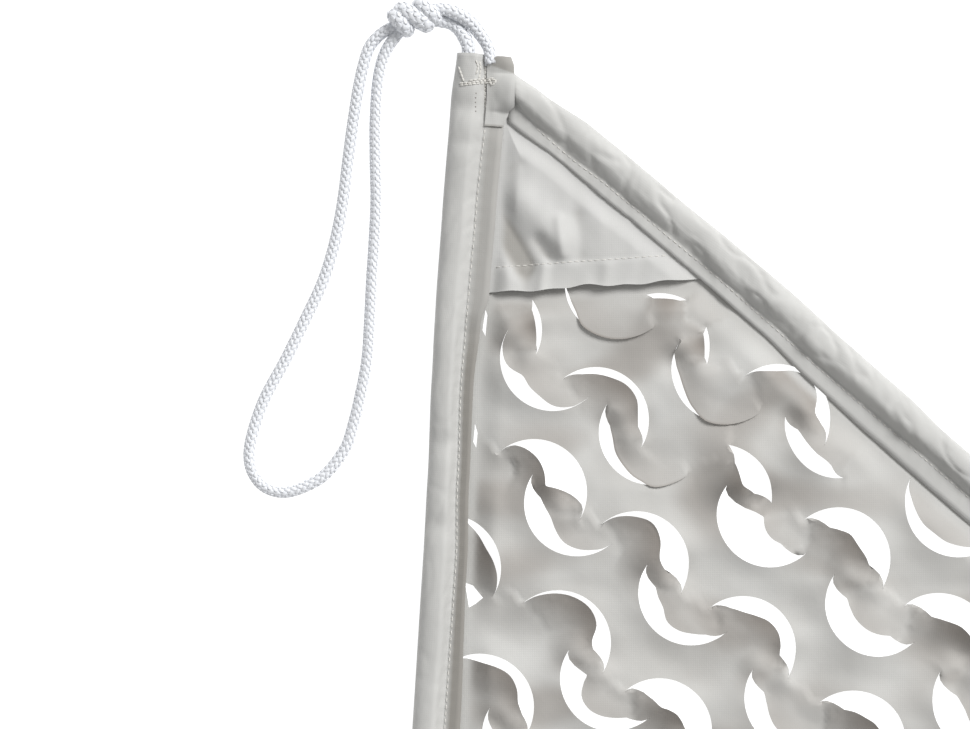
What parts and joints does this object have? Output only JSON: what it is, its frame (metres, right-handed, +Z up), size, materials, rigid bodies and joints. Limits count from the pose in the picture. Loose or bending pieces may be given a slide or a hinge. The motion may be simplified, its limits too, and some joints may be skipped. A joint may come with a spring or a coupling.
{
  "type": "shade cloth",
  "caption": "Triangular shade cloth of leaf-cut netting with sewn rope hems, plain corner patches and a knotted rope loop at each corner, laid flat.",
  "frame": {"origin": "centre of the base of the cloth's own box, without the rope loops, on the surface it lies on", "axes": "+Z up from the surface, +Y towards the top corner that the picture shows, +X to the right"},
  "size_m": [0.8985, 1.0279, 0.0162],
  "materials": {
    "net_cloth": "light grey coated woven cloth, cut in curved slits",
    "hem_cloth": "light grey coated woven cloth, folded and sewn",
    "patch_cloth": "light grey coated woven cloth, plain",
    "rope": "white braided cord"
  },
  "bodies": {
    "root": {"net": "net_cloth", "hem_left": "hem_cloth", "hem_bottom": "hem_cloth", "hem_right": "hem_cloth", "tab_top": "hem_cloth", "tab_low": "hem_cloth", "tab_far": "hem_cloth", "patch_top": "patch_cloth", "patch_low": "patch_cloth", "patch_far": "patch_cloth", "loop_top": "rope", "loop_low": "rope", "loop_far": "rope", "strand_hem_top": "rope", "strand_hem_low": "rope", "strand_hem_far": "rope", "strand_tab_top": "rope", "strand_tab_low": "rope", "strand_tab_far": "rope", "knot_top": "rope", "knot_low": "rope", "knot_far": "rope"}
  },
  "joints": []
}
